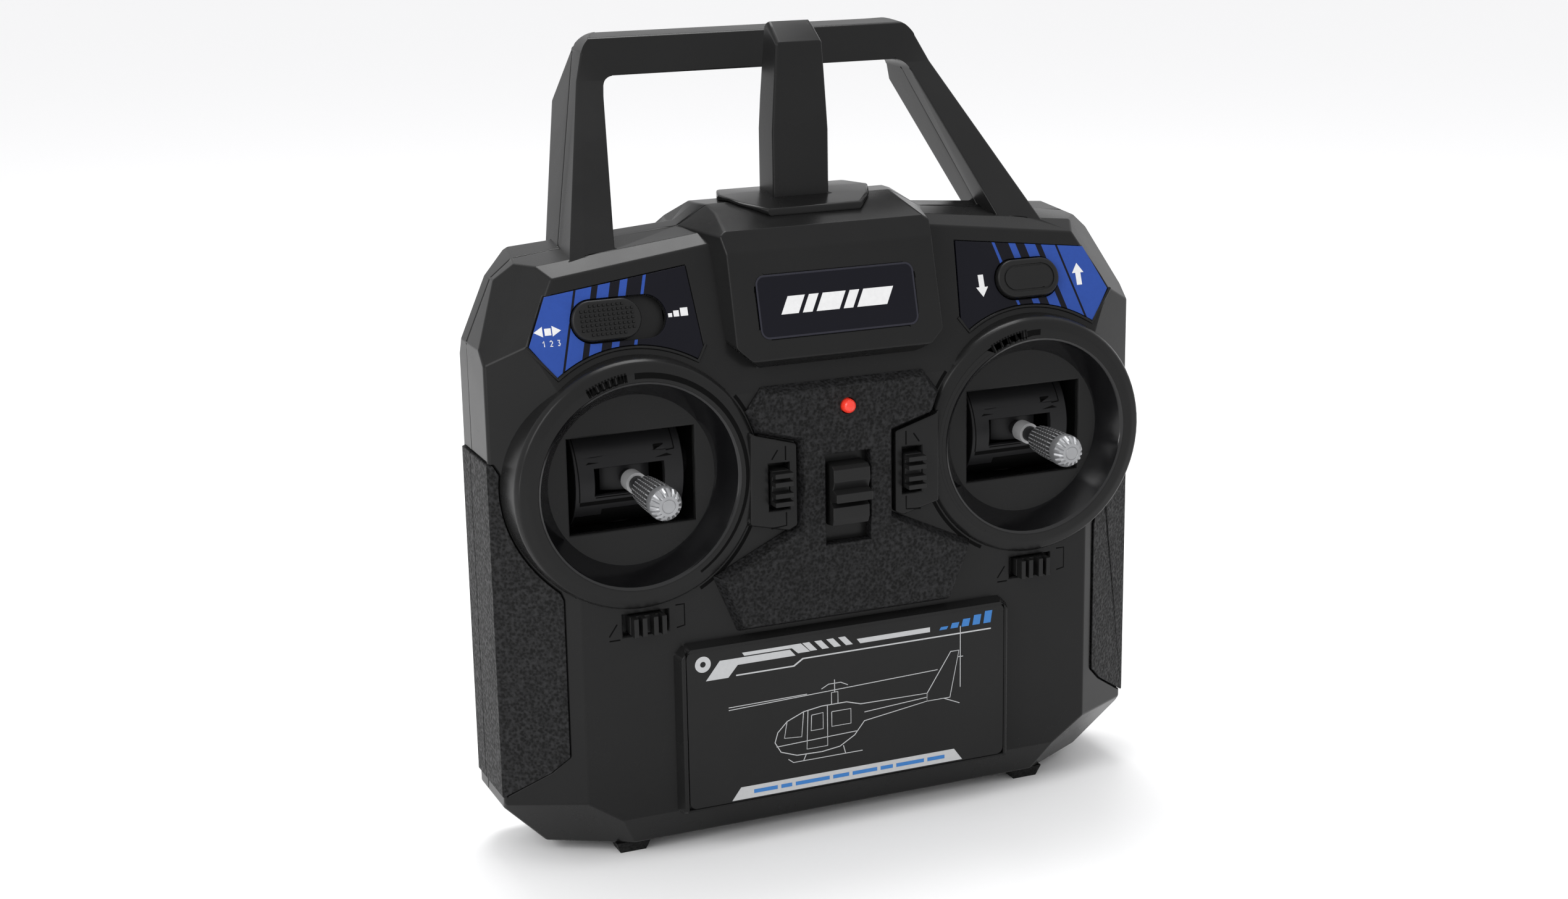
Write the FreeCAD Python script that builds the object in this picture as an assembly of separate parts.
"""Hand-held two-stick radio transmitter for a toy helicopter, with a carrying handle.

Millimetres.  +X is the user's right, +Y points away from the user, +Z is up.
The origin is the centre of the footprint, on the surface that the feet rest on.
Each sub-part is one STEP file in parts/, named after its node.
"""
import FreeCAD, Part
import math
import os

V = FreeCAD.Vector

# ---- driving dimensions ----
STICK_X = 54.0            # half the distance between the two sticks
STICK_Z = 98.0            # height of the stick centres
CASE_HALF_WIDTH = 88.3
CASE_BOTTOM = 3.0         # underside of the case, above the feet
FACE_Y = -22.3            # main front face
SPLIT_Y = 3.0             # plane where the two half shells meet
REAR_Y = 15.0             # back of the case
WALL = 2.0                # moulded wall thickness
UPPER_BEND_Z = 118.0      # the front leans back above this height
UPPER_TILT = math.radians(19.5)
CUP_FLOOR_Y = -17.0       # floor of the round cup around each stick
PIVOT_Y = -1.5            # depth of the stick pivots
DRUM_R = 14.0             # outer drum of the stick unit
STICK_SWING = 22.0        # degrees each way
PANEL_Y = -25.6           # front of the textured centre panel
PAD_Y = -24.4             # front of the raised pads beside it
TRIM_TRAVEL = 1.2
HANDLE_LEAN = math.radians(42.2)
HANDLE_FOOT_Y, HANDLE_FOOT_Z = -7.1, 150.9    # where the handle's front meets the case
HANDLE_THICK = 14.5
HANDLE_TOP_Z = 201.2
TIP_END_Y = -42.5         # front of the stick ends
BIG = 600.0

UPPER_NORMAL = V(0, -math.cos(UPPER_TILT), math.sin(UPPER_TILT))


# ---- small helpers ----
def upper_face_y(z):
    """Depth of the leaning upper front face at height z."""
    return FACE_Y + math.tan(UPPER_TILT) * (z - UPPER_BEND_Z)


def box(x0, x1, y0, y1, z0, z1):
    return Part.makeBox(x1 - x0, y1 - y0, z1 - z0, V(x0, y0, z0))


def prism_y(points, y0, y1):
    """Solid from an (x, z) outline, from depth y0 to y1."""
    ring = [V(x, y0, z) for x, z in points]
    return Part.Face(Part.makePolygon(ring + ring[:1])).extrude(V(0, y1 - y0, 0))


def prism_x(points, x0, x1):
    """Solid from a (y, z) outline, from x0 to x1."""
    ring = [V(x0, y, z) for y, z in points]
    return Part.Face(Part.makePolygon(ring + ring[:1])).extrude(V(x1 - x0, 0, 0))


def rod(start, axis, radius, length):
    return Part.makeCylinder(radius, length, start, axis)


def turned(profile, centre, axis=V(0, 1, 0)):
    """Solid of revolution from (radius, distance along +Y) points, about a line through centre."""
    ring = [V(r, y, 0) for r, y in profile]
    solid = Part.Face(Part.makePolygon(ring + ring[:1])).revolve(V(0, 0, 0), V(0, 1, 0), 360)
    solid.Placement = FreeCAD.Placement(centre, FreeCAD.Rotation(V(0, 1, 0), axis))
    return solid


def stadium(cx, cz, length, height, y0, y1):
    """Slot-shaped solid, long in X, from depth y0 to y1."""
    r = height / 2
    h = length / 2 - r
    body = box(cx - h, cx + h, y0, y1, cz - r, cz + r)
    ends = [rod(V(cx + s * h, y0, cz), V(0, 1, 0), r, y1 - y0) for s in (-1, 1)]
    return body.fuse(ends).removeSplitter()


def mirrored(shape):
    return shape.mirror(V(0, 0, 0), V(1, 0, 0))


def both(shape):
    return [shape, mirrored(shape)]


def closed_outline(half):
    """Full left and right outline from the points of its right half."""
    return half + [(-x, z) for x, z in reversed(half)]


def on_side(shape, side):
    """The shape is drawn on the right; side -1 gives its mirror image on the left."""
    return shape if side > 0 else mirrored(shape)


def rounded(shape, radius, chosen):
    """Round the edges that chosen(edge) accepts."""
    return shape.makeFillet(radius, [e for e in shape.Edges if chosen(e)])


def direction(edge):
    return (edge.Vertexes[-1].Point - edge.Vertexes[0].Point).normalize()


def along_y(edge):
    return len(edge.Vertexes) == 2 and abs(direction(edge).y) > 0.98


def beyond(point, normal, inset):
    """Big block that fills everything outside a plane moved inwards by inset."""
    normal = V(normal).normalize()
    block = Part.makeBox(BIG, BIG, BIG, V(-BIG / 2, -BIG / 2, 0))
    block.Placement = FreeCAD.Placement(point - normal * inset, FreeCAD.Rotation(V(0, 0, 1), normal))
    return block


def plane(p, q, r, outward):
    """Plane through three points, with its normal on the side of outward."""
    normal = (q - p).cross(r - p)
    if normal.dot(outward) < 0:
        normal = normal * -1
    return p, normal


def convex(planes, inset):
    """Convex solid inside all the planes, each moved inwards by inset."""
    solid = Part.makeBox(240, 120, 240, V(-120, -60, -20))
    for p, n in planes:
        solid = solid.cut(beyond(p, n, inset))
    return solid


def two_sided(p, n):
    """The plane and its mirror image in X."""
    return [(p, n), (V(-p.x, p.y, p.z), V(-n.x, n.y, n.z))]


# ---- outer form of the case ----
def case_planes():
    """Faces of the case without hood, handle and rings, as (point, outward normal)."""
    lean = upper_face_y
    side = CASE_HALF_WIDTH
    top_n = V(0.106, -0.13, 1)
    planes = [
        (V(0, 0, CASE_BOTTOM), V(0, 0, -1)),
        (V(0, FACE_Y, 60), V(0, -1, 0)),
        (V(0, FACE_Y, UPPER_BEND_Z), UPPER_NORMAL),
        (V(0, FACE_Y, 12), V(0, -9, -4.8)),
        (V(0, REAR_Y, 60), V(0, 1, 0)),
        (V(0, REAR_Y - 5, CASE_BOTTOM), V(0, 1, -1)),
        (V(0, REAR_Y, 150), V(0, 1, 1)),
    ]
    paired = [
        (V(66, 4, 152.8), top_n),
        plane(V(73, lean(148), 148), V(36, lean(152.4), 152.4), V(66, -7, 151), V(0, -1, 1)),
        (V(side, 0, 60), V(1, 0, 0)),
        (V(70, FACE_Y, 60), V(11.3, -18.3, 0)),
        (V(side, 0, 132), V(16, 0, 7)),
        (V(81.6, 0, 147.2), V(6, 0, 7.5)),
        plane(V(side, -7.9, 131.6), V(73, -5, 152), V(80.5, lean(131), 131), V(1, -1, 1)),
        (V(side, 0, 15.6), V(13, 0, -12.3)),
        plane(V(70, FACE_Y, 18), V(58, -19.1, 6), V(side, -10, 15.6), V(1, -1, -1)),
        (V(side, REAR_Y - 5, 60), V(1, 1, 0)),
        (V(side, REAR_Y - 7, 132), V(16, 14, 7)),
    ]
    for p, n in paired:
        planes += two_sided(p, n)
    return planes


def hood_planes():
    """Raised hood in the middle of the top, in front of and under the antenna."""
    front_low, front_high = V(0, -23.7, 125.7), V(0, -16.54, 151.4)
    crown_front, crown_back = V(0, -13, 156.4), V(0, -3.1, 159.5)
    across = V(1, 0, 0)
    planes = [
        plane(front_low, front_high, front_low + across, V(0, -1, 0)),
        plane(front_high, crown_front, front_high + across, V(0, -1, 1)),
        plane(crown_front, crown_back, crown_front + across, V(0, -1, 1)),
        (V(0, SPLIT_Y, 160.8), V(0, -1.3, 6.1)),
        (V(0, SPLIT_Y, 160.8), V(0, 0, 1)),
        (V(0, -20.9, 123.8), V(0, -1.9, -2.8)),
        (V(0, REAR_Y, 160), V(0, 1, 0)),
        (V(0, REAR_Y, 157), V(0, 1, 1)),
    ]
    paired = [
        plane(V(27.7, -16.5, 151.4), V(28.9, -19.3, 130), V(33.5, 3, 156.1), V(1, 0, 0)),
        plane(V(26.8, -13, 156.4), V(25.2, -3.1, 159.5), V(33.5, 3, 156.1), V(1, 0, 1)),
        (V(22.2, 0, 123.8), V(6.2, 0, -6.7)),
        (V(33.5, 0, 156.1), V(4.7, 0, 6.5)),
    ]
    for p, n in paired:
        planes += two_sided(p, n)
    return planes


def handle_loop():
    """Carrying handle: two tapering posts and a bar, before it is split front and rear."""
    lean = math.tan(HANDLE_LEAN)
    back = HANDLE_THICK / math.cos(HANDLE_LEAN)
    foot_y, foot_z = HANDLE_FOOT_Y - 5 * lean, HANDLE_FOOT_Z - 5
    bar_low_y, bar_low_z = HANDLE_FOOT_Y + 39.3 * lean, HANDLE_FOOT_Z + 39.3
    profile = [(foot_y, foot_z), (bar_low_y, bar_low_z), (33.9, HANDLE_TOP_Z - 1), (39.6, HANDLE_TOP_Z),
               (42.7, 184.2), (foot_y + back, foot_z)]
    outer = closed_outline([(71.9, 132), (45.2, HANDLE_TOP_Z)])
    window = closed_outline([(58.4, 130), (42.3, 191.0)])

    def upper_corner(edge):
        return along_y(edge) and edge.CenterOfMass.z > 185

    loop = prism_x(profile, -80, 80).common(rounded(prism_y(outer, -60, 90), 7.0, upper_corner))
    return loop.cut(rounded(prism_y(window, -60, 90), 3.5, upper_corner))


def handle_halves(loop):
    """The handle cut along the leaning parting plane: front half, rear half."""
    point, normal = plane(V(0, 3.6, 152.0), V(0, 33.4, 189.5), V(9, 3.6, 152.0), V(0, 1, 0))
    behind = beyond(point, normal, 0)
    return loop.cut(behind), loop.common(behind)


def ring_solid(side):
    """Conical bezel around a stick, standing proud of the face, with its outer wall."""
    profile = [(0, -8), (32.2, -8), (31.4, -21.8), (30.6, -23.3), (28.4, -24.0), (0, -24.0)]
    return turned(profile, V(side * STICK_X, 0, STICK_Z))


def cup_space(side):
    """Free space inside the cup: a cone down to the flat floor."""
    profile = [(0, CUP_FLOOR_Y), (21.5, CUP_FLOOR_Y), (22.3, -18.4), (25.5, -23.75), (25.9, -24.0),
               (25.9, -60), (0, -60)]
    return turned(profile, V(side * STICK_X, 0, STICK_Z))


def cup_wall(side):
    """Material of the cup: floor and cone, one wall thick."""
    profile = [(0, CUP_FLOOR_Y + 2), (23.3, CUP_FLOOR_Y + 2), (27.6, -23.0), (27.6, -24.0), (0, -24.0)]
    return turned(profile, V(side * STICK_X, 0, STICK_Z))


def ring_skirt(side):
    """Thin outer wall of the bezel, carried back inside the case."""
    profile = [(30.6, -8), (32.2, -8), (31.4, -23), (29.6, -23)]
    return turned(profile, V(side * STICK_X, 0, STICK_Z))


def ring_room(side, radius):
    """Column around a stick that keeps other parts clear of the bezel."""
    return rod(V(side * STICK_X, -60, STICK_Z), V(0, 1, 0), radius, 52)


def ring_inside(side):
    """Hollow between the cup's cone and the bezel's outer wall."""
    profile = [(20, -7), (30.6, -7), (29.6, -20.6), (28.9, -21.9), (20, -21.9)]
    return turned(profile, V(side * STICK_X, 0, STICK_Z))


CENTER_OUTLINE = [(22, 119.3), (26.5, 113.2), (24.3, 107.5), (13.4, 104.3), (13.4, 83.1),
                  (35.8, 72.4), (29.5, 57.1)]


def inset_outline(outline, inset):
    """The (x, z) outline moved inwards by inset on every side."""
    area = sum(p[0] * q[1] - q[0] * p[1] for p, q in zip(outline, outline[1:] + outline[:1]))
    turn = math.copysign(1, area)
    moved = []
    for i, here in enumerate(outline):
        before, after = outline[i - 1], outline[(i + 1) % len(outline)]
        sides = []
        for p, q in ((before, here), (here, after)):
            dx, dz = q[0] - p[0], q[1] - p[1]
            size = math.hypot(dx, dz)
            sides.append((-dz / size * turn, dx / size * turn))
        nx, nz = sides[0][0] + sides[1][0], sides[0][1] + sides[1][1]
        scale = inset * 2 / (nx * nx + nz * nz)
        moved.append((here[0] + nx * scale, here[1] + nz * scale))
    return moved


def chamfered_plate(outline, y_base, y_top, slope):
    """Plate from depth y_base forward to y_top, with sides that slope inwards."""
    rings = []
    for points, y in ((outline, y_base), (inset_outline(outline, slope), y_top)):
        rings.append(Part.makePolygon([V(x, y, z) for x, z in points + points[:1]]))
    return Part.makeLoft(rings, True, True)


def ribs(x, z, y0, y1, count, pitch, size, tall):
    """Row of ribs; tall ribs stand beside each other along X, others lie above each other."""
    shapes = []
    for i in range(count):
        step = (i - (count - 1) / 2) * pitch
        if tall:
            shapes.append(box(x + step - 0.6, x + step + 0.6, y0, y1, z - size / 2, z + size / 2))
        else:
            shapes.append(box(x - size / 2, x + size / 2, y0, y1, z + step - 0.6, z + step + 0.6))
    return shapes


def upper_frame(x, z):
    """Placement that lays a shape drawn around the origin, facing -Y, on the leaning upper face."""
    tilt = FreeCAD.Rotation(V(1, 0, 0), -math.degrees(UPPER_TILT))
    return FreeCAD.Placement(V(x, upper_face_y(z), z), tilt)


def on_upper(shape, x, z):
    shape.Placement = upper_frame(x, z)
    return shape


# ---- places of the controls ----
SLOT_X, SLOT_Z = 55.5, 138.0       # speed slot (left) and take-off button (right)
SPEED_SLOT = (24.5, 10.8)
BUTTON_SLOT = (18.5, 10.8)
SWITCH_Z = (77.4, 100.7)           # well of the power switch
SWITCH_HALF = 6.14
LED_Z = 112.7
TRIM_SLOT = (5.4, 11.8)
TRIM_UPRIGHT = (18.2, 93.7)        # slides up and down
TRIM_LEVEL = (53.5, 62.9)          # slides left and right
LABEL_HALF, LABEL_Z = 44.3, (12.7, 54.6)
NAME_HALF, NAME_Z = 21.3, (130.7, 145.8)
HOOD_SLOPE = math.atan(7.16 / 25.7)
BAY_HALF, BAY_Z = 31.0, (14.0, 68.8)
BAY_FLOOR_Y = 4.2
BUMP_Y = 22.0
SCREWS = [(74, 128), (73, 22), (30, 147)]
FEET = [(56.4, -12.9), (56.4, 6.5)]
ANTENNA_Y = 6.3
GRIP_OUTLINE = [(95, 104.5), (87.5, 104.5), (84.5, 99), (84.5, 91), (80.5, 80), (74.6, 73.5),
                (73.7, 71), (73.7, 30.3), (77.7, 26.2), (88.2, 19.0), (95, 18.0)]


def name_frame():
    mid = sum(NAME_Z) / 2
    y = -23.7 + math.tan(HOOD_SLOPE) * (mid - 125.7)
    return FreeCAD.Placement(V(0, y, mid), FreeCAD.Rotation(V(1, 0, 0), -math.degrees(HOOD_SLOPE)))


def name_plate_shape(grow, y0, y1):
    """Blank name plate, grown on all sides, lying on the hood's front."""
    half_w = NAME_HALF + grow
    half_h = (NAME_Z[1] - NAME_Z[0]) / 2 / math.cos(HOOD_SLOPE) + grow
    plate = rounded(box(-half_w, half_w, y0, y1, -half_h, half_h), 3.0, along_y)
    plate.Placement = name_frame()
    return plate


def function_plate_outline(grow):
    """Five-sided plate around a slot, with a hollow lower edge round the stick ring."""
    outline = [(36.8, 148.7), (35.1, 129.8), (38.3, 125.0), (72.15, 125.0), (78.6, 133.6), (73.2, 144.5)]
    blank = prism_y(inset_outline(outline, -grow), -60, 30)
    ring = rod(V(STICK_X, -70, STICK_Z), V(0, 1, 0), 33.8 - grow, 120)
    return blank.cut(ring)


def function_plate(side, grow, out, depth):
    """Layer of the plate between out in front of the upper face and depth behind it."""
    point = V(0, FACE_Y, UPPER_BEND_Z)
    layer = function_plate_outline(grow).cut(beyond(point, UPPER_NORMAL, -out))
    return on_side(layer.common(beyond(point, UPPER_NORMAL, depth)), side)


# ---- shells ----
def case_form(inset):
    return convex(case_planes(), inset)


def label_frame(inset):
    half = [(44.4, 56.8), (47.4, 53.8), (47.4, 12.0), (45.4, 10.0)]
    return inset_outline(closed_outline(half), inset)


def trim_slot(side, upright, y0, y1, grow=0.0):
    """Slot for a trim tab."""
    x, z = TRIM_UPRIGHT if upright else TRIM_LEVEL
    w, h = TRIM_SLOT if upright else TRIM_SLOT[::-1]
    w, h = w / 2 + grow, h / 2 + grow
    return on_side(box(x - w, x + w, y0, y1, z - h, z + h), side)


def screw_boss(x, z, y0, y1):
    return rod(V(x, y0, z), V(0, 1, 0), 3.4, y1 - y0)


def case_solid():
    """Whole case before hollowing: form, hood, rings, pads and label frame."""
    form = rounded(case_form(0), 1.5, lambda e: True)
    pads = [(12.5, 105.5), (26.5, 109), (26.5, 84), (12.5, 80.5)]
    panel_room = prism_y(inset_outline(closed_outline(CENTER_OUTLINE), -0.1), -60, FACE_Y)
    parts = [convex(hood_planes(), 0).common(box(-60, 60, -60, 60, 110, 170))]
    for side in (1, -1):
        parts.append(ring_solid(side))
        outline = pads if side > 0 else [(-x, z) for x, z in reversed(pads)]
        parts.append(chamfered_plate(outline, FACE_Y + 1, PAD_Y, 0.8).cut(panel_room))
    parts.append(chamfered_plate(label_frame(0), -20.3, -25.4, 2.0))
    return form.fuse(parts)


def case_hollow():
    """Free space inside the case."""
    space = [case_form(WALL).cut([cup_wall(1), cup_wall(-1)])]
    hood = convex(hood_planes(), WALL).common(box(-60, 60, -60, 60, 122, 170))
    space.append(hood)
    for side in (1, -1):
        space[0] = space[0].cut(ring_skirt(side))
        space.append(ring_inside(side).cut(cup_wall(side)))
    space.append(box(-LABEL_HALF, LABEL_HALF, -22.7, -19, 13, 54))
    return space


def front_shell(solid, hollow, handle_front, form):
    shell = solid.cut(box(-100, 100, SPLIT_Y, 60, -10, 220))
    shell = shell.cut(hollow)
    for x, z in SCREWS:
        for boss in both(screw_boss(x, z, -21, SPLIT_Y)):
            shell = shell.fuse(boss.common(form))
    cuts = []
    for side in (1, -1):
        cuts.append(cup_space(side))
        cuts.append(box(side * STICK_X - 16.3, side * STICK_X + 16.3, -25, -10, STICK_Z - 12, STICK_Z + 12))
        cuts.append(function_plate(side, 0.1, 5, 0.7))
        cuts += [trim_slot(side, up, -30, -15) for up in (True, False)]
        cuts.append(grip_zone(side, 0.15).cut([case_form(1.0), ring_room(side, 32.2)]))
    cuts.append(on_upper(stadium(0, 0, *SPEED_SLOT, -5, 4), -SLOT_X, SLOT_Z))
    cuts.append(on_upper(stadium(0, 0, *BUTTON_SLOT, -5, 4), SLOT_X, SLOT_Z))
    cuts.append(name_plate_shape(0.1, -3, 0.6))
    cuts.append(box(-LABEL_HALF - 0.1, LABEL_HALF + 0.1, -30, -24.2, LABEL_Z[0] - 0.1, LABEL_Z[1] + 0.1))
    cuts.append(rod(V(0, -40, LED_Z), V(0, 1, 0), 2.0, 25))
    cuts.append(box(-2, 2, -30, -15, 83, 95.5))
    for x, z in SCREWS:
        cuts += both(rod(V(x, -9, z), V(0, 1, 0), 1.3, 24))
    shell = shell.cut(cuts)
    return shell.fuse(handle_front.cut(form)).removeSplitter()


def rear_shell(solid, hollow, handle_rear, form):
    shell = solid.common(box(-100, 100, SPLIT_Y, 60, -10, 220)).cut(hollow)
    bump = chamfered_plate(closed_outline([(40, 77), (40, 7.5)]), REAR_Y - 3, BUMP_Y, 3.0)
    bay = box(-BAY_HALF - 1.4, BAY_HALF + 1.4, SPLIT_Y, BUMP_Y - 1, BAY_Z[0] - 1.4, BAY_Z[1] + 1.4)
    shell = shell.fuse([bump.cut(hollow[0].common(box(-60, 60, 0, REAR_Y - 2, 0, 90))), bay])
    for x, z in SCREWS:
        for boss in both(screw_boss(x, z, SPLIT_Y, REAR_Y)):
            shell = shell.fuse(boss.common(form))
    cuts = [box(-BAY_HALF, BAY_HALF, BAY_FLOOR_Y, 60, *BAY_Z)]
    cuts.append(battery_cover_blank(0.2, 0.1))
    for x, z in SCREWS:
        cuts += both(rod(V(x, SPLIT_Y - 1, z), V(0, 1, 0), 1.6, 30))
        cuts += both(rod(V(x, 10.0, z), V(0, 1, 0), 3.0, 30))
    for side in (1, -1):
        cuts.append(grip_zone(side, 0.15).cut(case_form(1.0)))
    cuts.append(rod(V(0, ANTENNA_Y, 140), V(0, 0, 1), 1.7, 40))
    shell = shell.cut(cuts)
    return shell.fuse(handle_rear.cut(form)).removeSplitter()


def battery_cover_blank(grow, behind):
    half = 34.0 + grow
    plate = box(-half, half, 20.4 - behind, BUMP_Y + 5, 12.2 - grow, 72.0 + grow)
    return rounded(plate, 2.0, along_y)


def battery_cover():
    """Flat lid with thumb grooves and a locating lip."""
    plate = battery_cover_blank(0, 0).cut(box(-60, 60, BUMP_Y, 60, 0, 90))
    grooves = [box(-9, 9, BUMP_Y - 0.6, 30, 60.5 + 2.2 * i, 61.5 + 2.2 * i) for i in range(4)]
    lip = box(-30.6, 30.6, 19.2, 20.4, 14.4, 68.4).cut(box(-29, 29, 19, 20.4, 16, 66.8))
    return plate.cut(grooves).fuse(lip)


def grip_zone(side, grow):
    """Grip outline, grown on all sides, as a prism through the case."""
    return on_side(prism_y(inset_outline(GRIP_OUTLINE, -grow), -40, 40), side)


def grip(side, front):
    """Textured grip skin: it fills its recess and stands a little proud of the case."""
    skin = grip_zone(side, 0).common(case_form(-0.5)).cut([case_form(0.95), ring_room(side, 32.4)])
    y0, y1 = (-60, SPLIT_Y - 0.1) if front else (SPLIT_Y + 0.1, 60)
    return skin.common(box(-100, 100, y0, y1, -10, 220))


# ---- plates, light and controls ----
def center_panel():
    """Textured cover plate around the light and the power switch."""
    outline = closed_outline(CENTER_OUTLINE)
    plate = chamfered_plate(outline, FACE_Y, PANEL_Y, 1.6)
    inside = chamfered_plate(inset_outline(outline, 1.8), FACE_Y, PANEL_Y + 1.8, 1.0)
    half, low, high = SWITCH_HALF + 1.4, SWITCH_Z[0] - 1.4, SWITCH_Z[1] + 1.4
    well_wall = box(-half, half, PANEL_Y + 1, FACE_Y, low, high)
    well = box(-SWITCH_HALF, SWITCH_HALF, -40, 0, *SWITCH_Z)
    light = rod(V(0, -40, LED_Z), V(0, 1, 0), 2.1, 40)
    rings = [ring_room(side, 31.55) for side in (1, -1)]
    return plate.cut(inside).fuse(well_wall).cut([well, light] + rings)


def name_plate():
    return name_plate_shape(0, -0.15, 0.6)


def label_plate():
    plate = box(-LABEL_HALF, LABEL_HALF, -25.2, -24.2, *LABEL_Z)
    return rounded(plate, 2.0, along_y)


def function_panel(side):
    """Coloured plate on the upper face, with the opening for its control."""
    size = BUTTON_SLOT if side > 0 else SPEED_SLOT
    opening = on_upper(stadium(0, 0, *size, -5, 5), side * SLOT_X, SLOT_Z)
    return function_plate(side, 0, 0.1, 0.7).cut(opening)


def status_led():
    body = rod(V(0, -26.0, LED_Z), V(0, 1, 0), 1.8, 7)
    dome = Part.makeSphere(1.8, V(0, -26.0, LED_Z)).common(box(-3, 3, -30, -26, LED_Z - 3, LED_Z + 3))
    flange = rod(V(0, -20.2, LED_Z), V(0, 1, 0), 2.6, 1.4)
    return body.fuse([dome, flange])


def speed_knob():
    """Sliding cap with a base plate that keeps the slot covered."""
    knob = stadium(-3.2, 0, 17.6, 10.0, -1.3, 2.4)
    knob = rounded(knob, 0.8, lambda e: e.BoundBox.YMax < -1.2)
    base = box(-14.8, 12.2, 2.3, 3.5, -6.6, 6.6)
    return on_upper(knob.fuse(base), -SLOT_X, SLOT_Z)


def takeoff_button():
    """Oval push button with a raised rim line and a base plate behind the wall."""
    cap = stadium(0, 0, 17.7, 10.0, -1.6, 2.4)
    cap = rounded(cap, 0.8, lambda e: e.BoundBox.YMax < -1.5)
    line = stadium(0, 0, 14.6, 6.9, -3, -1.3).cut(stadium(0, 0, 13.6, 5.9, -3, -1.3))
    base = box(-10.6, 10.6, 2.3, 3.3, -6.4, 6.4)
    return on_upper(cap.cut(line).fuse(base), SLOT_X, SLOT_Z)


def power_knob():
    """Stepped slide knob with a finger ridge, and the stem to the switch behind."""
    half = 5.0
    side_view = [(-22.6, 81.8), (-26.6, 82.4), (-27.4, 84.0), (-27.4, 87.2), (-25.6, 88.0), (-25.8, 88.6),
                 (-29.4, 88.9), (-29.4, 91.1), (-27.0, 91.8), (-28.0, 94.0), (-27.8, 97.0), (-26.4, 97.8),
                 (-22.6, 98.0)]
    stem = box(-1.6, 1.6, -23, -17.2, 88, 92.0)
    return prism_x(side_view, -half, half).fuse(stem)


def power_switch_body():
    """Switch can behind the face, with the slot for the knob's stem."""
    can = box(-4.5, 4.5, -20.2, -10, 79, 97)
    return can.cut(box(-2.0, 2.0, -25, -16.8, 82, 94.5))


def trim_tab(side, upright):
    """Ribbed trim tab: cap in the slot, base plate behind the wall, four ribs in two pairs."""
    x, z = TRIM_UPRIGHT if upright else TRIM_LEVEL
    front = PAD_Y if upright else FACE_Y
    long, wide = 8.8, 4.6
    w, h = (wide, long) if upright else (long, wide)
    cap = box(x - w / 2, x + w / 2, front - 0.7, -18.9, z - h / 2, z + h / 2)
    grow = TRIM_TRAVEL + 0.4
    bw, bh = (w / 2 + 1.1, h / 2 + grow + 1) if upright else (w / 2 + grow + 1, h / 2 + 0.9)
    base = box(x - bw, x + bw, -20.0, -18.9, z - bh, z + bh)
    bars = []
    for pair in (-2.55, 2.55):
        where = (x, z + pair) if upright else (x + pair, z)
        bars += ribs(*where, front - 3.4, front - 0.5, 2, 2.2, wide + 0.3, not upright)
    return on_side(cap.fuse([base] + bars), side)


def trim_switches():
    """Small centring switches behind the four trim tabs."""
    bodies = []
    for x, z in (TRIM_UPRIGHT, TRIM_LEVEL):
        upright = x == TRIM_UPRIGHT[0]
        w, h = (5.0, 9.0) if upright else (9.0, 4.6)
        bodies += both(box(x - w / 2, x + w / 2, -18.5, -13, z - h / 2, z + h / 2))
    return Part.makeCompound(bodies)


def speed_switch():
    return on_upper(box(-8, 6, 3.8, 8.5, -4.5, 4.5), -SLOT_X, SLOT_Z)


def takeoff_switch():
    """Push switch under the button."""
    body = box(-3.1, 3.1, 5.6, 9.0, -3.1, 3.1)
    plunger = rod(V(0, 4.9, 0), V(0, 1, 0), 1.6, 0.8)
    return on_upper(body.fuse(plunger), SLOT_X, SLOT_Z)


# ---- stick units: drawn around their pivot, then moved into place ----
def at_pivot(shape, side):
    """Move a right-hand shape from the pivot at the origin into the case, mirrored on the left."""
    shape.translate(V(STICK_X, PIVOT_Y, STICK_Z))
    return on_side(shape, side)


PIN_R = 2.0
RUN_GAP = 0.05            # radial clearance of the pivots
SHAFT_R = 2.0             # stick shaft
TIP_FOOT = -23.7          # back of the finger end, from the pivot


def gimbal_frame(side):
    """Box frame screwed behind the cup, with bosses for the drum's pins."""
    front, back = CUP_FLOOR_Y + 2 - PIVOT_Y, 10.5
    frame = box(-20.5, 20.5, front, back, -17, 17).cut(box(-18.5, 18.5, front - 1, back + 1, -15, 15))
    bosses = [rod(V(s * 16.3, 0, 0), V(s, 0, 0), 4.0, 4.0) for s in (1, -1)]
    posts = [rod(V(20.4, y, z), V(1, 0, 0), 1.0, 4.4) for y in (0, 6.6) for z in (-13.1, 13.1)]
    frame = frame.fuse(bosses + posts)
    return at_pivot(frame.cut(rod(V(-30, 0, 0), V(1, 0, 0), PIN_R + RUN_GAP, 60)), side)


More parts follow.
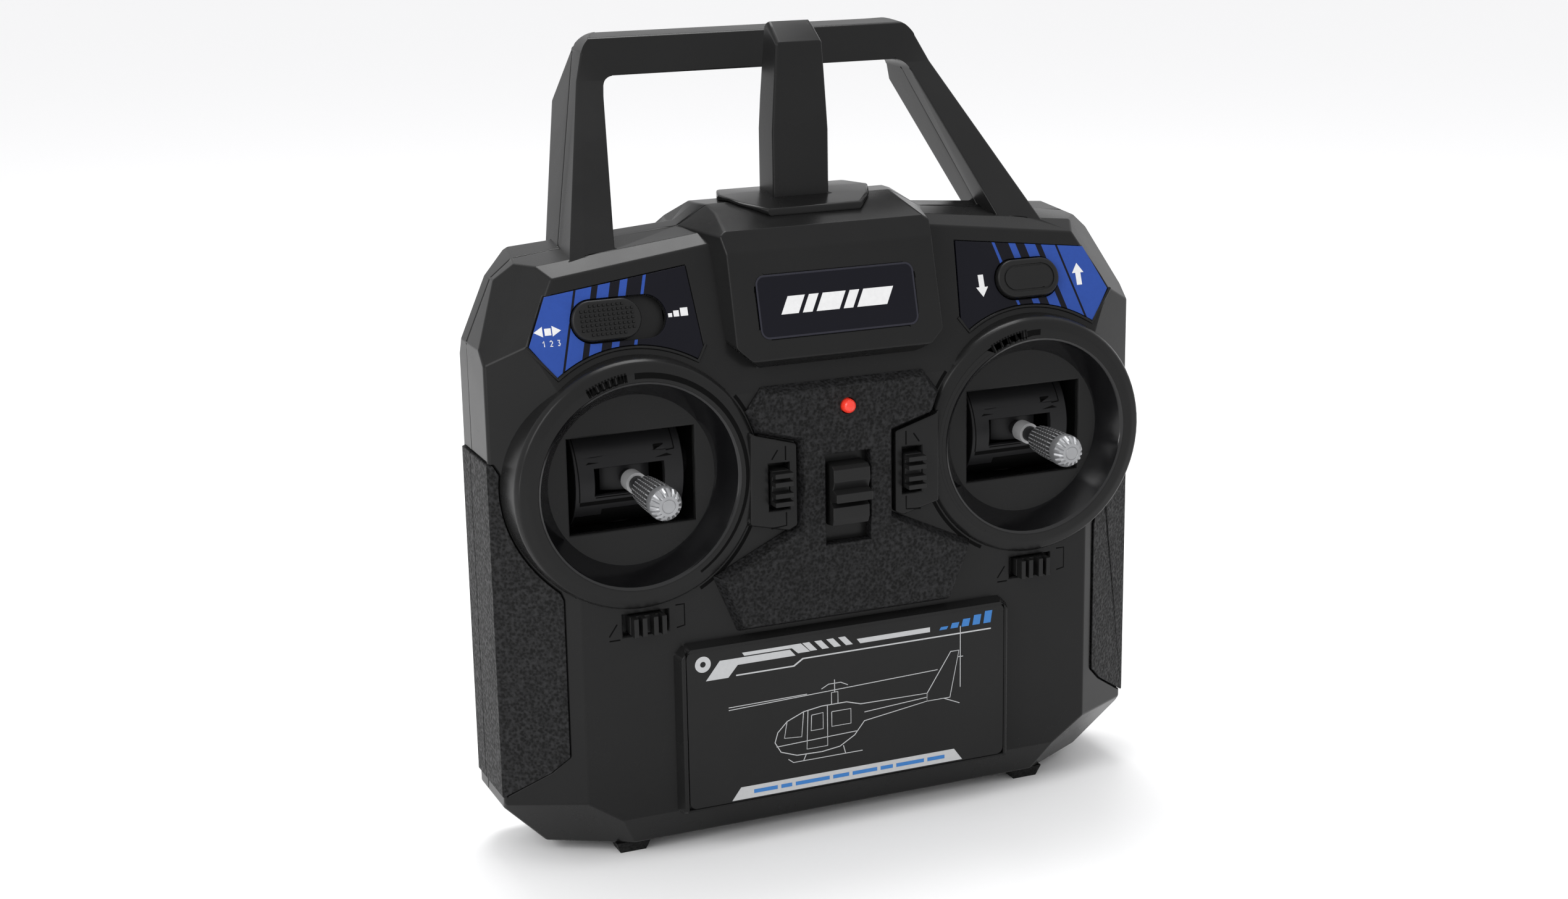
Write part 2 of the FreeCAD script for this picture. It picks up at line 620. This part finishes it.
def pitch_drum(side):
    """Outer drum on a level axis: two flanges, a curved cover with the stick slot, two webs."""
    flange = [rod(V(s * 12.2, 0, 0), V(s, 0, 0), DRUM_R, 1.8) for s in (1, -1)]
    tube = rod(V(-12.3, 0, 0), V(1, 0, 0), DRUM_R, 24.6).cut(rod(V(-13, 0, 0), V(1, 0, 0), 12.2, 26))
    cover = tube.common(prism_x([(0, 0), (-30, 52), (-30, -52)], -13, 13))
    webs = [box(-12.3, 12.3, -9.2, 4, z, z + 1.8) for z in (-10, 8.2)]
    pins = [rod(V(13.9, 0, 0), V(1, 0, 0), PIN_R, 6.3), rod(V(-13.9, 0, 0), V(-1, 0, 0), PIN_R, 9.1)]
    drum = flange[0].fuse([flange[1], cover] + webs + pins)
    slot = box(-9, 9, -20, -9.4, -3.4, 3.4)
    notches = [box(x - 1.6, x + 1.6, -20, -12.4, 6.2, 8.0) for x in (-8.2, 8.2)]
    pivots = rod(V(0, 0, -12), V(0, 0, 1), 1.5 + RUN_GAP, 24)
    return at_pivot(drum.cut([slot, pivots] + notches), side)


def stick_carrier(side):
    """Inner hub on an upright axis, its curved nose in the drum's slot, and the stick shaft."""
    hub = rod(V(0, 0, -7.8), V(0, 0, 1), 6.0, 15.6)
    nose = rod(V(0, 0, -3.2), V(0, 0, 1), 11.5, 6.4).cut(rod(V(0, 0, -4), V(0, 0, 1), 9.7, 8))
    spread = 30 * math.tan(math.radians(STICK_SWING + 12))
    corners = [V(0, 0, -4), V(-spread, -30, -4), V(spread, -30, -4)]
    nose = nose.common(Part.Face(Part.makePolygon(corners + corners[:1])).extrude(V(0, 0, 8)))
    arm = box(-2.8, 2.8, -10.2, -4, -3.2, 3.2)
    pins = rod(V(0, 0, -9.6), V(0, 0, 1), 1.5, 19.2)
    shaft = rod(V(0, -10, 0), V(0, -1, 0), SHAFT_R, -TIP_FOOT - 10)
    core = rod(V(0, -20, 0), V(0, -1, 0), 1.4, 13)
    return at_pivot(hub.fuse([nose, arm, pins, shaft, core]), side)


def stick_lock(side):
    """Bright lock sleeve on the shaft, just in front of the drum."""
    ring = rod(V(0, -14.6, 0), V(0, -1, 0), 2.7, 4.2).cut(rod(V(0, -10, 0), V(0, -1, 0), SHAFT_R, 12))
    return at_pivot(ring, side)


def stick_tip(side):
    """Finger grip of turned aluminium with a fluted barrel and a toothed crown."""
    back, end = TIP_FOOT, TIP_END_Y - PIVOT_Y
    profile = [(0, back), (3.1, back), (3.6, back - 0.9), (3.9, back - 4.0), (4.15, end + 4.4),
               (4.15, end + 2.4), (2.7, end + 0.3), (2.4, end), (0, end)]
    tip = turned(profile, V(0, 0, 0))
    cuts = [rod(V(0, -10, 0), V(0, -1, 0), 1.4, 23.0)]
    flutes = 16
    for i in range(flutes):
        turn = 2 * math.pi * i / flutes
        flute = rod(V(4.3 * math.cos(turn), back, 4.3 * math.sin(turn)), V(0, -1, 0), 0.45, 30)
        cuts.append(flute)
    return at_pivot(tip.cut(cuts), side)


def pitch_pot(side):
    """Position sensor on the drum's long pin, on the inner side of the frame."""
    pot = rod(V(-20.5, 0, 0), V(-1, 0, 0), 7.0, 6.8)
    return at_pivot(pot.cut(rod(V(-20, 0, 0), V(-1, 0, 0), PIN_R + RUN_GAP, 4)), side)


def roll_pot(side):
    """Position sensor under the drum's lower web."""
    return at_pivot(rod(V(0, 0, -10), V(0, 0, -1), 4.8, 3.2), side)


def centring_springs(side):
    """Two closely wound springs between the posts on the frame's outer wall."""
    springs = []
    coils, wire, radius = 14, 0.8, 2.2
    for y in (0, 6.6):
        profile = [(0, -12.1)]
        for i in range(coils):
            low = -12.1 + i * 24.2 / coils
            pitch = 24.2 / coils
            profile += [(radius - wire / 2, low), (radius, low + pitch / 2)]
        profile += [(radius - wire / 2, 12.1), (0, 12.1)]
        springs.append(turned(profile, V(22.9, y, 0), V(0, 0, 1)))
    return at_pivot(Part.makeCompound(springs), side)


# ---- antenna ----
def antenna_bar():
    profile = [(1.4, 155), (1.4, 199.6), (8.2, 204.6), (10.2, 202.4), (11.2, 184), (11.3, 155)]
    bar = prism_x(profile, -7.6, 7.6)
    for s in (1, -1):
        bar = bar.cut(beyond(V(s * 7.45, 0, 180), V(s * 19, 0, 1.2), 0))
        bar = bar.cut(beyond(V(s * 6.4, 0, 199), V(s, 0, 0.1), 0))
    return bar


def antenna_cover(solid):
    """Flat upright antenna housing on its base plate, which sits on the hood."""
    front = [(12.8, -7.3), (17.8, -0.4), (20.8, 6.8), (17.9, 15.0)]
    ring = [V(x, y, 155) for x, y in front + [(-x, y) for x, y in reversed(front)]]
    plate = Part.Face(Part.makePolygon(ring + ring[:1])).extrude(V(0, 0, 7.3))
    low, high = V(0, -7.3, 160.1), V(0, 6.8, 162.3)
    point, normal = plane(low, high, low + V(9, 0, 0), V(0, 0, 1))
    plate = plate.cut(beyond(point, normal, 0))
    cover = plate.fuse(antenna_bar()).cut(solid)
    return cover.cut(rod(V(0, ANTENNA_Y, 150), V(0, 0, 1), 1.6, 48.0)).removeSplitter()


def antenna_element():
    """Radiator rod with its sleeve, from the radio board up into the housing."""
    element = rod(V(0, ANTENNA_Y, 146), V(0, 0, 1), 0.9, 50)
    return element.fuse(rod(V(0, ANTENNA_Y, 150), V(0, 0, 1), 1.5, 30))


# ---- power and electronics ----
CELL_R, CELL_LENGTH = 7.1, 50.2
CELL_PITCH = 15.2
CELL_Y = BAY_FLOOR_Y + 7.5
CELL_LOW = 16.4


def cell_places():
    """X position of each cell, and whether its button faces up."""
    return [((i - 1.5) * CELL_PITCH, i % 2 == 0) for i in range(4)]


def battery_cells():
    cells = []
    for x, up in cell_places():
        can = rod(V(x, CELL_Y, CELL_LOW + (0 if up else 1.2)), V(0, 0, 1), CELL_R, CELL_LENGTH - 1.2)
        top = CELL_LOW + CELL_LENGTH
        button = rod(V(x, CELL_Y, top if up else CELL_LOW), V(0, 0, -1 if up else 1), 2.7, 1.3)
        cells.append(can.fuse(button))
    return Part.makeCompound(cells)


def battery_contacts():
    """Spring and flat contacts at the ends of the cells."""
    parts = []
    top = CELL_LOW + CELL_LENGTH
    for x, up in cell_places():
        plate_low = box(x - 4, x + 4, CELL_Y - 4, CELL_Y + 4, BAY_Z[0], BAY_Z[0] + 0.4)
        plate_high = box(x - 4, x + 4, CELL_Y - 4, CELL_Y + 4, BAY_Z[1] - 0.4, BAY_Z[1])
        low_r, high_r = (3.6, 2.6) if up else (2.6, 3.6)
        low = Part.makeCone(low_r, 2.0, CELL_LOW - BAY_Z[0] - 0.4, V(x, CELL_Y, BAY_Z[0] + 0.4))
        high = Part.makeCone(2.0, high_r, BAY_Z[1] - 0.4 - top, V(x, CELL_Y, top))
        parts += [plate_low.fuse(low), plate_high.fuse(high)]
    return Part.makeCompound(parts)


BOARD = (25.5, -5.0, -3.4, 62.0, 122.0)    # half width, front, back, bottom, top


def main_board():
    half, front, back, low, high = BOARD
    board = box(-half, half, front, back, low, high)
    chips = [box(-5, 5, front - 1.4, front + 0.1, 84, 94), box(8, 13, front - 1.2, front + 0.1, 96, 101),
             box(-18, -10, front - 4, front + 0.1, 100, 106), box(12, 20, front - 2, front + 0.1, 66, 72)]
    posts = both(box(22.5, 25.5, back - 0.1, SPLIT_Y, 64, 67))
    posts += both(box(22.5, 25.5, back - 0.1, REAR_Y - WALL, 118, 121))
    return board.fuse(chips + posts)


def radio_module():
    front = BOARD[1]
    return box(-8, 8, front - 2.6, front, 106, 120)


def buzzer():
    front = BOARD[1]
    body = rod(V(-14, front, 74), V(0, -1, 0), 6.0, 5.0)
    return body.cut(rod(V(-14, front - 6, 74), V(0, 1, 0), 1.0, 3))


def case_screws():
    screws = []
    for x, z in SCREWS:
        head = rod(V(x, 10.0, z), V(0, 1, 0), 2.8, 1.8)
        cross = [box(x - a, x + a, 11.0, 12, z - b, z + b) for a, b in ((1.6, 0.35), (0.35, 1.6))]
        screws += both(head.fuse(rod(V(x, -8, z), V(0, 1, 0), 1.25, 18.5)).cut(cross))
    return Part.makeCompound(screws)


def feet():
    """Four pads under the case."""
    pads = []
    for x, y in FEET:
        rings = []
        for half_x, half_y, z in ((3.4, 2.4, 0), (4.6, 3.2, CASE_BOTTOM)):
            corners = [(-1, -1), (1, -1), (1, 1), (-1, 1), (-1, -1)]
            rings.append(Part.makePolygon([V(x + a * half_x, y + b * half_y, z) for a, b in corners]))
        pads += both(Part.makeLoft(rings, True, True))
    return Part.makeCompound(pads)


def build():
    """Every sub-part by node name."""
    solid, hollow, form = case_solid(), case_hollow(), case_form(0)
    handle_front, handle_rear = handle_halves(handle_loop())
    parts = {
        "front_shell": front_shell(solid, hollow, handle_front, form),
        "rear_shell": rear_shell(solid, hollow, handle_rear, form),
        "battery_cover": battery_cover(),
        "battery_cells": battery_cells(),
        "battery_contacts": battery_contacts(),
        "center_panel": center_panel(),
        "name_plate": name_plate(),
        "label_plate": label_plate(),
        "status_led": status_led(),
        "speed_knob": speed_knob(),
        "speed_switch": speed_switch(),
        "takeoff_button": takeoff_button(),
        "takeoff_switch": takeoff_switch(),
        "power_knob": power_knob(),
        "power_switch_body": power_switch_body(),
        "trim_switches": trim_switches(),
        "antenna_cover": antenna_cover(solid),
        "antenna_element": antenna_element(),
        "main_board": main_board(),
        "radio_module": radio_module(),
        "buzzer": buzzer(),
        "case_screws": case_screws(),
        "feet": feet(),
    }
    for name, side in (("left", -1), ("right", 1)):
        parts[name + "_function_plate"] = function_panel(side)
        parts[name + "_grip_front"] = grip(side, True)
        parts[name + "_grip_rear"] = grip(side, False)
        parts[name + "_trim_upright"] = trim_tab(side, True)
        parts[name + "_trim_level"] = trim_tab(side, False)
        parts[name + "_gimbal_frame"] = gimbal_frame(side)
        parts[name + "_pitch_drum"] = pitch_drum(side)
        parts[name + "_stick_carrier"] = stick_carrier(side)
        parts[name + "_stick_lock"] = stick_lock(side)
        parts[name + "_stick_tip"] = stick_tip(side)
        parts[name + "_pitch_pot"] = pitch_pot(side)
        parts[name + "_roll_pot"] = roll_pot(side)
        parts[name + "_centring_springs"] = centring_springs(side)
    return parts


os.makedirs("parts", exist_ok=True)
for node, shape in build().items():
    print(node, shape.isValid(), len(shape.Solids), round(shape.Volume))
    shape.exportStep("parts/" + node + ".step")
